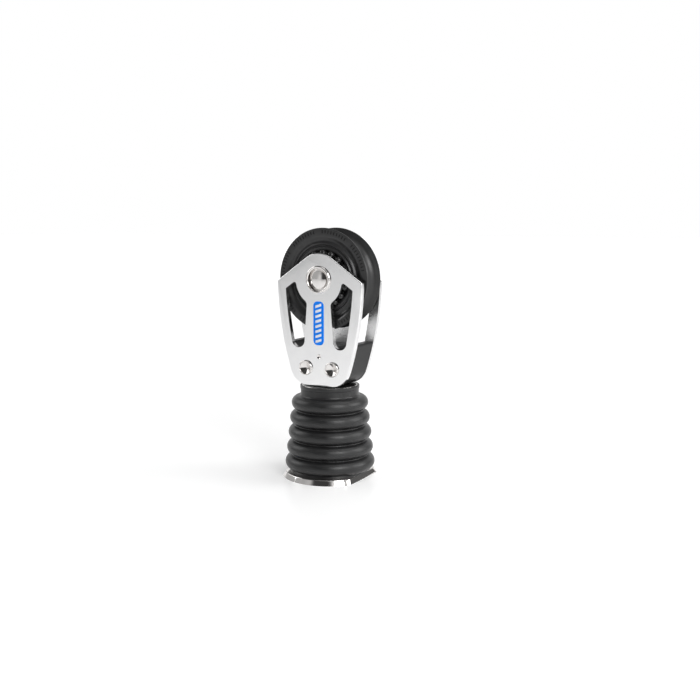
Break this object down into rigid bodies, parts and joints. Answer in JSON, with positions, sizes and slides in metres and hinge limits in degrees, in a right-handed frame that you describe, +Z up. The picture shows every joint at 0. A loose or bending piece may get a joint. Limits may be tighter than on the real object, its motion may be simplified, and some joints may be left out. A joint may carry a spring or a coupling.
{
  "type": "stand-up block",
  "caption": "Deck pulley block that stands upright: ball-bearing rope sheave in a swivelling stainless head, on a universal joint held up by a rubber bellows boot.",
  "frame": {"origin": "centre of the base's underside", "axes": "+Z up through the swivel, +Y along the sheave's axle towards the rear cheek"},
  "size_m": [0.06, 0.0572, 0.1487],
  "materials": {
    "polished_stainless": "mirror polished",
    "cheek_stainless": "satin polished",
    "black_rubber": "satin moulded",
    "block_plastic": "satin moulded",
    "sheave_plastic": "satin turned",
    "bearing_plastic": "matte",
    "roller_plastic": "polished",
    "label_blue": "glossy resin"
  },
  "bodies": {
    "base": {"base_plate": "polished_stainless", "boot": "black_rubber", "lower_pin": "polished_stainless", "lower_pin_clip": "polished_stainless"},
    "toggle": {"toggle_link": "polished_stainless"},
    "stem": {"stem": "polished_stainless", "upper_pin": "polished_stainless", "upper_pin_clip": "polished_stainless", "thrust_washer": "bearing_plastic", "top_washer": "bearing_plastic", "post_nut": "polished_stainless"},
    "head": {"head_block": "block_plastic", "pocket_cover": "block_plastic", "front_cheek": "cheek_stainless", "rear_cheek": "cheek_stainless", "axle": "polished_stainless", "hub_sleeve": "polished_stainless", "head_rivets": "polished_stainless", "dowels": "polished_stainless", "front_label": "label_blue"},
    "sheave": {"sheave": "sheave_plastic"},
    "roller_train": {"rollers": "roller_plastic", "roller_cage": "bearing_plastic"},
    "front_ball_train": {"front_balls": "roller_plastic", "front_ball_cage": "bearing_plastic"},
    "rear_ball_train": {"rear_balls": "roller_plastic", "rear_ball_cage": "bearing_plastic"}
  },
  "joints": [
    {"name": "lower_tilt", "type": "hinge", "parent": "base", "child": "toggle", "pos_m": [0, 0, 0.013], "axis": [1, 0, 0], "range_deg": [-35, 35], "stiffness_Nm_per_rad": 4, "deforming": ["boot"]},
    {"name": "upper_tilt", "type": "hinge", "parent": "toggle", "child": "stem", "pos_m": [0, 0, 0.033], "axis": [0, 1, 0], "range_deg": [-35, 35], "stiffness_Nm_per_rad": 4},
    {"name": "swivel", "type": "hinge", "parent": "stem", "child": "head", "pos_m": [0, 0, 0.056], "axis": [0, 0, 1], "continuous": true},
    {"name": "sheave_spin", "type": "hinge", "parent": "head", "child": "sheave", "pos_m": [0, 0, 0.1187], "axis": [0, 1, 0], "continuous": true},
    {"name": "roller_orbit", "type": "hinge", "parent": "head", "child": "roller_train", "pos_m": [0, 0, 0.1187], "axis": [0, 1, 0], "continuous": true},
    {"name": "front_ball_orbit", "type": "hinge", "parent": "head", "child": "front_ball_train", "pos_m": [0, 0, 0.1187], "axis": [0, 1, 0], "continuous": true},
    {"name": "rear_ball_orbit", "type": "hinge", "parent": "head", "child": "rear_ball_train", "pos_m": [0, 0, 0.1187], "axis": [0, 1, 0], "continuous": true}
  ],
  "couplings": [
    {"joint": "roller_orbit", "follows": "sheave_spin", "ratio": 0.5928},
    {"joint": "front_ball_orbit", "follows": "sheave_spin", "ratio": 0.5},
    {"joint": "rear_ball_orbit", "follows": "sheave_spin", "ratio": 0.5}
  ]
}
